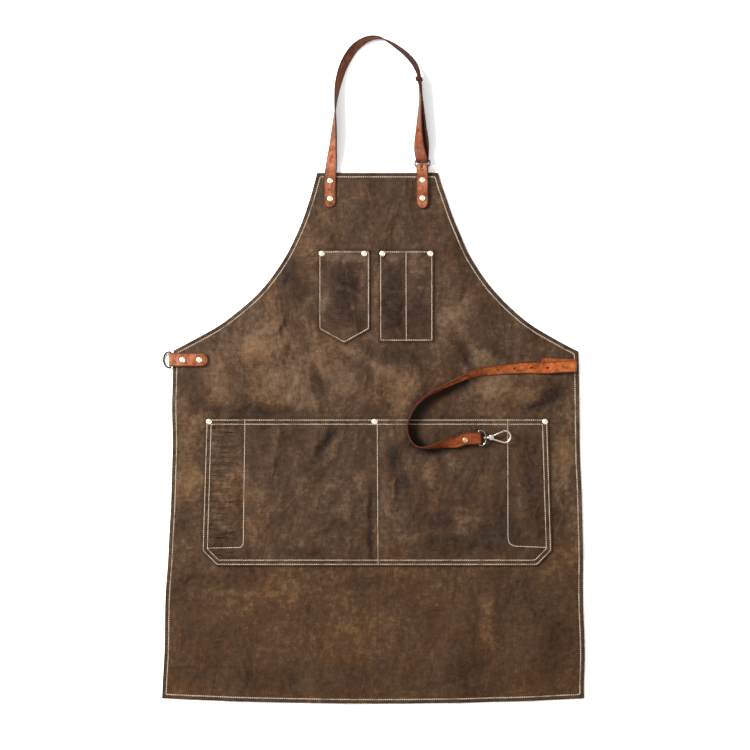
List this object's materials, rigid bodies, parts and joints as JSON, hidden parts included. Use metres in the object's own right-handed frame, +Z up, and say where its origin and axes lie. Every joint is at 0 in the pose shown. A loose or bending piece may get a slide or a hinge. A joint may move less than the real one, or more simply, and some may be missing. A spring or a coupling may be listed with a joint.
{
  "type": "barber apron",
  "caption": "Waxed canvas barber apron lying flat, with patch pockets, a buckled leather neck strap, and a leather waist strap whose swivel snap hook meets a D ring.",
  "frame": {"origin": "below the middle of the apron as it lies, on the surface that it rests on", "axes": "+Z up from the surface, +Y from the hem to the neck strap, +X to the wearer's left, which is the viewer's right"},
  "size_m": [0.6514, 1.0269, 0.024],
  "materials": {
    "canvas": "waxed, matt",
    "pocket_canvas": "waxed, matt",
    "leather": "smooth, tan",
    "steel": "bright plated wire",
    "dark_steel": "dark plated wire",
    "rivet_cap": "bright, warm",
    "brass": "bright"
  },
  "bodies": {
    "apron": {"apron_body": "canvas", "chest_pocket_pointed": "pocket_canvas", "chest_pocket_divided": "pocket_canvas", "lower_pocket": "pocket_canvas", "neck_strap": "leather", "neck_buckle_tab": "leather", "neck_buckle": "steel", "neck_buckle_prong": "steel", "strap_keeper": "leather", "waist_strap": "leather", "d_ring_tab": "leather", "neck_strap_rivet_1": "rivet_cap", "neck_strap_rivet_2": "rivet_cap", "buckle_tab_rivet_1": "rivet_cap", "buckle_tab_rivet_2": "rivet_cap", "ring_tab_rivet_1": "rivet_cap", "ring_tab_rivet_2": "rivet_cap", "pointed_pocket_rivet_1": "rivet_cap", "pointed_pocket_rivet_2": "rivet_cap", "divided_pocket_rivet_1": "rivet_cap", "divided_pocket_rivet_2": "rivet_cap", "lower_pocket_rivet_1": "rivet_cap", "lower_pocket_rivet_2": "rivet_cap", "lower_pocket_rivet_3": "rivet_cap", "waist_strap_rivet_1": "rivet_cap", "waist_strap_rivet_2": "rivet_cap", "hook_end_rivet": "brass"},
    "ring": {"d_ring": "dark_steel"},
    "eye": {"hook_eye": "steel"},
    "hook": {"hook_body": "steel"},
    "gate": {"hook_gate": "steel"}
  },
  "joints": [
    {"name": "d_ring_pivot", "type": "hinge", "parent": "apron", "child": "ring", "pos_m": [-0.31161, 0.015, 0.0062], "axis": [0, 1, 0], "range_deg": [0, 165]},
    {"name": "hook_eye_pivot", "type": "hinge", "parent": "apron", "child": "eye", "pos_m": [0.16343, -0.10567, 0.0094], "axis": [0.061, -0.9981, 0], "range_deg": [0, 100]},
    {"name": "hook_swivel", "type": "hinge", "parent": "eye", "child": "hook", "pos_m": [0.17382, -0.10503, 0.01079], "axis": [0.9894, 0.0605, 0.132], "continuous": true},
    {"name": "hook_gate_pivot", "type": "hinge", "parent": "hook", "child": "gate", "pos_m": [0.18332, -0.10285, 0.01207], "axis": [0.1317, 0.0081, -0.9913], "range_deg": [0, 30], "stiffness_Nm_per_rad": 0.05, "springref_deg": -11.46}
  ]
}
